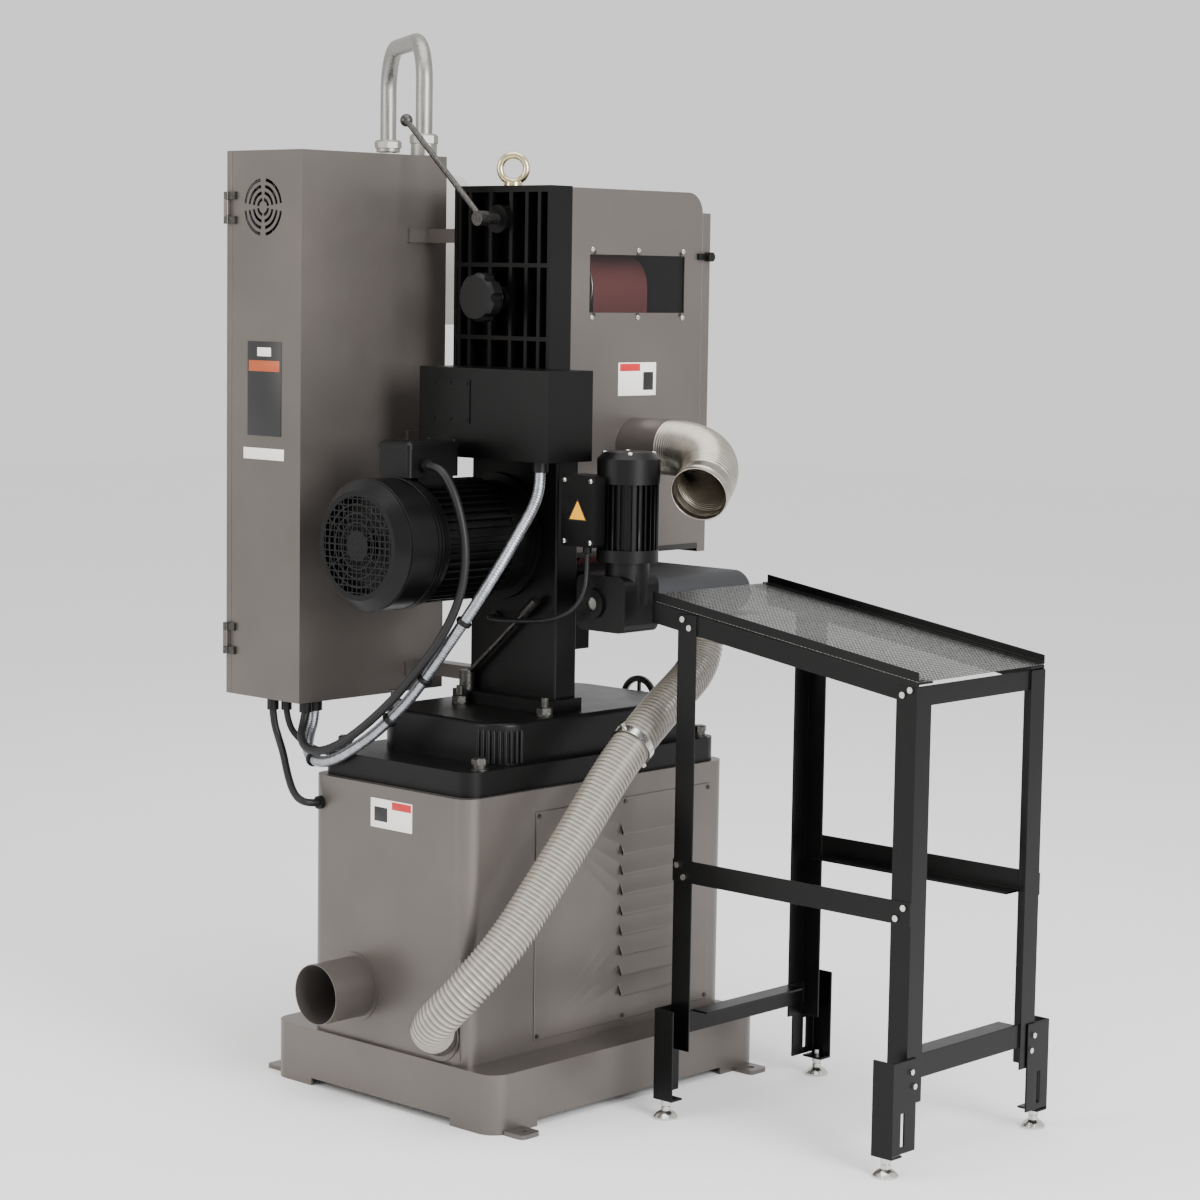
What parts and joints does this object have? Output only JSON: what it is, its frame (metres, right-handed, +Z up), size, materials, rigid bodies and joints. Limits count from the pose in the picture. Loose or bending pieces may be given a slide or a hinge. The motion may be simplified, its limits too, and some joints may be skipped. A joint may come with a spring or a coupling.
{
  "type": "belt grinder",
  "caption": "Conveyor-fed wide-belt grinder on a sheet-steel stand, with enclosed belt head, flange motor, electrical cabinet, dust ducts and a sloping outfeed table.",
  "frame": {"origin": "middle of the plinth on the floor, the centre of the four anchor holes", "axes": "+Z up, +Y the feed direction towards the outfeed table, +X towards the main motor and the electrical cabinet"},
  "size_m": [0.8559, 1.5545, 1.959],
  "materials": {
    "taupe_paint": "semi-gloss",
    "black_paint": "semi-gloss",
    "grey_paint": "satin",
    "casting": "semi-gloss",
    "steel": "satin",
    "chrome": "polished",
    "aluminium": "satin",
    "galvanised": "pleated",
    "rubber": "matte",
    "abrasive": "coated grit",
    "belt_rubber": "matte",
    "glass": "clear",
    "plastic": "matte",
    "green": "gloss",
    "red": "gloss",
    "hose_plastic": "ribbed translucent",
    "switchgear": "satin"
  },
  "bodies": {
    "base_frame": {"plinth": "taupe_paint", "stand_cabinet": "taupe_paint", "louvre_panel": "taupe_paint", "base_casting": "casting", "column": "casting", "head_plate": "casting", "eye_bolt": "chrome", "motor_frame": "casting", "spindle_bearings": "steel", "fan_cover": "black_paint", "terminal_box": "black_paint", "junction_box": "black_paint", "belt_housing": "taupe_paint", "window_pane": "glass", "duct_elbow": "galvanised", "electrical_cabinet": "taupe_paint", "cabinet_devices": "switchgear", "support_pipe": "chrome", "fixings": "chrome", "cable_glands": "plastic", "abrasive_belt": "abrasive", "conduit": "galvanised", "motor_cable": "plastic", "gearmotor_cable": "plastic", "supply_cable": "plastic", "control_cable": "plastic", "extraction_hose": "hose_plastic", "hose_clamp": "galvanised"},
    "access_hatch": {"access_hatch": "taupe_paint"},
    "spindle": {"motor_shaft": "steel", "motor_fan": "plastic", "contact_wheel": "aluminium", "wheel_tyre": "rubber"},
    "idler_carriage": {"idler_slide": "steel"},
    "idler": {"idler_wheel": "aluminium"},
    "tension_lever": {"tension_lever": "chrome"},
    "tracking_knob": {"tracking_knob": "plastic"},
    "housing_door": {"housing_door": "taupe_paint"},
    "door_latch": {"door_latch": "black_paint"},
    "cabinet_door": {"cabinet_door": "taupe_paint"},
    "door_lock": {"door_lock": "plastic"},
    "main_switch": {"main_switch": "red"},
    "vent_fan": {"vent_fan": "plastic"},
    "console": {"console_box": "grey_paint"},
    "start_button": {"start_button": "green"},
    "stop_button": {"stop_button": "red"},
    "emergency_stop": {"emergency_stop": "red"},
    "speed_knob": {"speed_knob": "plastic"},
    "conveyor": {"conveyor_bed": "black_paint", "feed_belt": "belt_rubber", "gearmotor": "black_paint"},
    "drive_roller": {"drive_roller": "steel"},
    "idle_roller": {"idle_roller": "steel"},
    "gearmotor_rotor": {"gearmotor_rotor": "steel"},
    "lift_handwheel": {"lift_handwheel": "chrome"},
    "clamp_lever": {"column_clamp_lever": "chrome"},
    "outfeed_table": {"outfeed_frame": "black_paint", "leg_extensions": "black_paint", "tray_mesh": "steel", "table_fixings": "chrome"}
  },
  "joints": [
    {"name": "wheel_spin", "type": "hinge", "parent": "base_frame", "child": "spindle", "pos_m": [0, -0.02, 1.02], "axis": [1, 0, 0], "continuous": true},
    {"name": "tension_lever_turn", "type": "hinge", "parent": "base_frame", "child": "tension_lever", "pos_m": [0, -0.025, 1.604], "axis": [1, 0, 0], "range_deg": [-75, 0]},
    {"name": "belt_tension", "type": "slide", "parent": "base_frame", "child": "idler_carriage", "axis": [0, 0, 1], "range_m": [-0.012, 0], "deforming": ["abrasive_belt"]},
    {"name": "idler_spin", "type": "hinge", "parent": "idler_carriage", "child": "idler", "pos_m": [-0.205, -0.02, 1.48], "axis": [1, 0, 0], "continuous": true},
    {"name": "tracking_turn", "type": "hinge", "parent": "base_frame", "child": "tracking_knob", "pos_m": [0.1, -0.023, 1.46], "axis": [1, 0, 0], "range_deg": [-180, 180]},
    {"name": "housing_door_swing", "type": "hinge", "parent": "base_frame", "child": "housing_door", "pos_m": [-0.376, -0.154, 1.3], "axis": [0, 0, 1], "range_deg": [0, 110]},
    {"name": "door_latch_turn", "type": "hinge", "parent": "housing_door", "child": "door_latch", "pos_m": [-0.389, 0.1, 1.542], "axis": [0, 1, 0], "range_deg": [0, 90]},
    {"name": "cabinet_door_swing", "type": "hinge", "parent": "base_frame", "child": "cabinet_door", "pos_m": [0.356, -0.435, 1.2], "axis": [0, 0, 1], "range_deg": [0, 110]},
    {"name": "door_lock_turn", "type": "hinge", "parent": "cabinet_door", "child": "door_lock", "pos_m": [0.008, -0.441, 1.216], "axis": [0, 1, 0], "range_deg": [0, 90]},
    {"name": "main_switch_turn", "type": "hinge", "parent": "cabinet_door", "child": "main_switch", "pos_m": [0.15, -0.441, 1.56], "axis": [0, 1, 0], "range_deg": [0, 90]},
    {"name": "vent_fan_spin", "type": "hinge", "parent": "base_frame", "child": "vent_fan", "pos_m": [0.33, -0.339, 1.619], "axis": [1, 0, 0], "continuous": true},
    {"name": "console_swivel", "type": "hinge", "parent": "base_frame", "child": "console", "pos_m": [-0.15, -0.54, 1.72], "axis": [0, 0, 1], "range_deg": [-40, 40]},
    {"name": "start_press", "type": "slide", "parent": "console", "child": "start_button", "axis": [0, 1, 0], "range_m": [0, 0.004], "stiffness_N_per_m": 400},
    {"name": "stop_press", "type": "slide", "parent": "console", "child": "stop_button", "axis": [0, 1, 0], "range_m": [0, 0.004], "stiffness_N_per_m": 400},
    {"name": "emergency_press", "type": "slide", "parent": "console", "child": "emergency_stop", "axis": [0, 1, 0], "range_m": [0, 0.004], "stiffness_N_per_m": 600},
    {"name": "speed_turn", "type": "hinge", "parent": "console", "child": "speed_knob", "pos_m": [-0.245, -0.59, 1.5], "axis": [0, 1, 0], "range_deg": [-135, 135]},
    {"name": "table_lift", "type": "slide", "parent": "base_frame", "child": "conveyor", "axis": [0, 0, 1], "range_m": [-0.085, 0], "deforming": ["extraction_hose", "hose_clamp", "gearmotor_cable"]},
    {"name": "lift_handwheel_turn", "type": "hinge", "parent": "base_frame", "child": "lift_handwheel", "pos_m": [-0.327, 0, 0.681], "axis": [1, 0, 0], "continuous": true},
    {"name": "drive_roller_turn", "type": "hinge", "parent": "conveyor", "child": "drive_roller", "pos_m": [0, 0.235, 0.915], "axis": [-1, 0, 0], "continuous": true},
    {"name": "idle_roller_turn", "type": "hinge", "parent": "conveyor", "child": "idle_roller", "pos_m": [0, -0.33, 0.915], "axis": [-1, 0, 0], "continuous": true},
    {"name": "gearmotor_turn", "type": "hinge", "parent": "conveyor", "child": "gearmotor_rotor", "pos_m": [0.015, 0.275, 1], "axis": [0, 0, 1], "continuous": true},
    {"name": "column_clamp_turn", "type": "hinge", "parent": "base_frame", "child": "clamp_lever", "pos_m": [0.062, -0.086, 0.74], "axis": [0, 0, 1], "range_deg": [-8, 0]},
    {"name": "access_hatch_swing", "type": "hinge", "parent": "base_frame", "child": "access_hatch", "pos_m": [-0.128, -0.206, 0.345], "axis": [0, 0, -1], "range_deg": [0, 110]},
    {"name": "outfeed_table_move", "type": "slide", "parent": "base_frame", "child": "outfeed_table", "axis": [0, 1, 0], "range_m": [0, 0.5]}
  ],
  "couplings": [
    {"joint": "belt_tension", "follows": "tension_lever_turn", "m_per_rad": 0.009167},
    {"joint": "idler_spin", "follows": "wheel_spin", "ratio": 1},
    {"joint": "idle_roller_turn", "follows": "drive_roller_turn", "ratio": 1},
    {"joint": "gearmotor_turn", "follows": "drive_roller_turn", "ratio": 30},
    {"joint": "lift_handwheel_turn", "follows": "table_lift", "rad_per_m": 628}
  ]
}
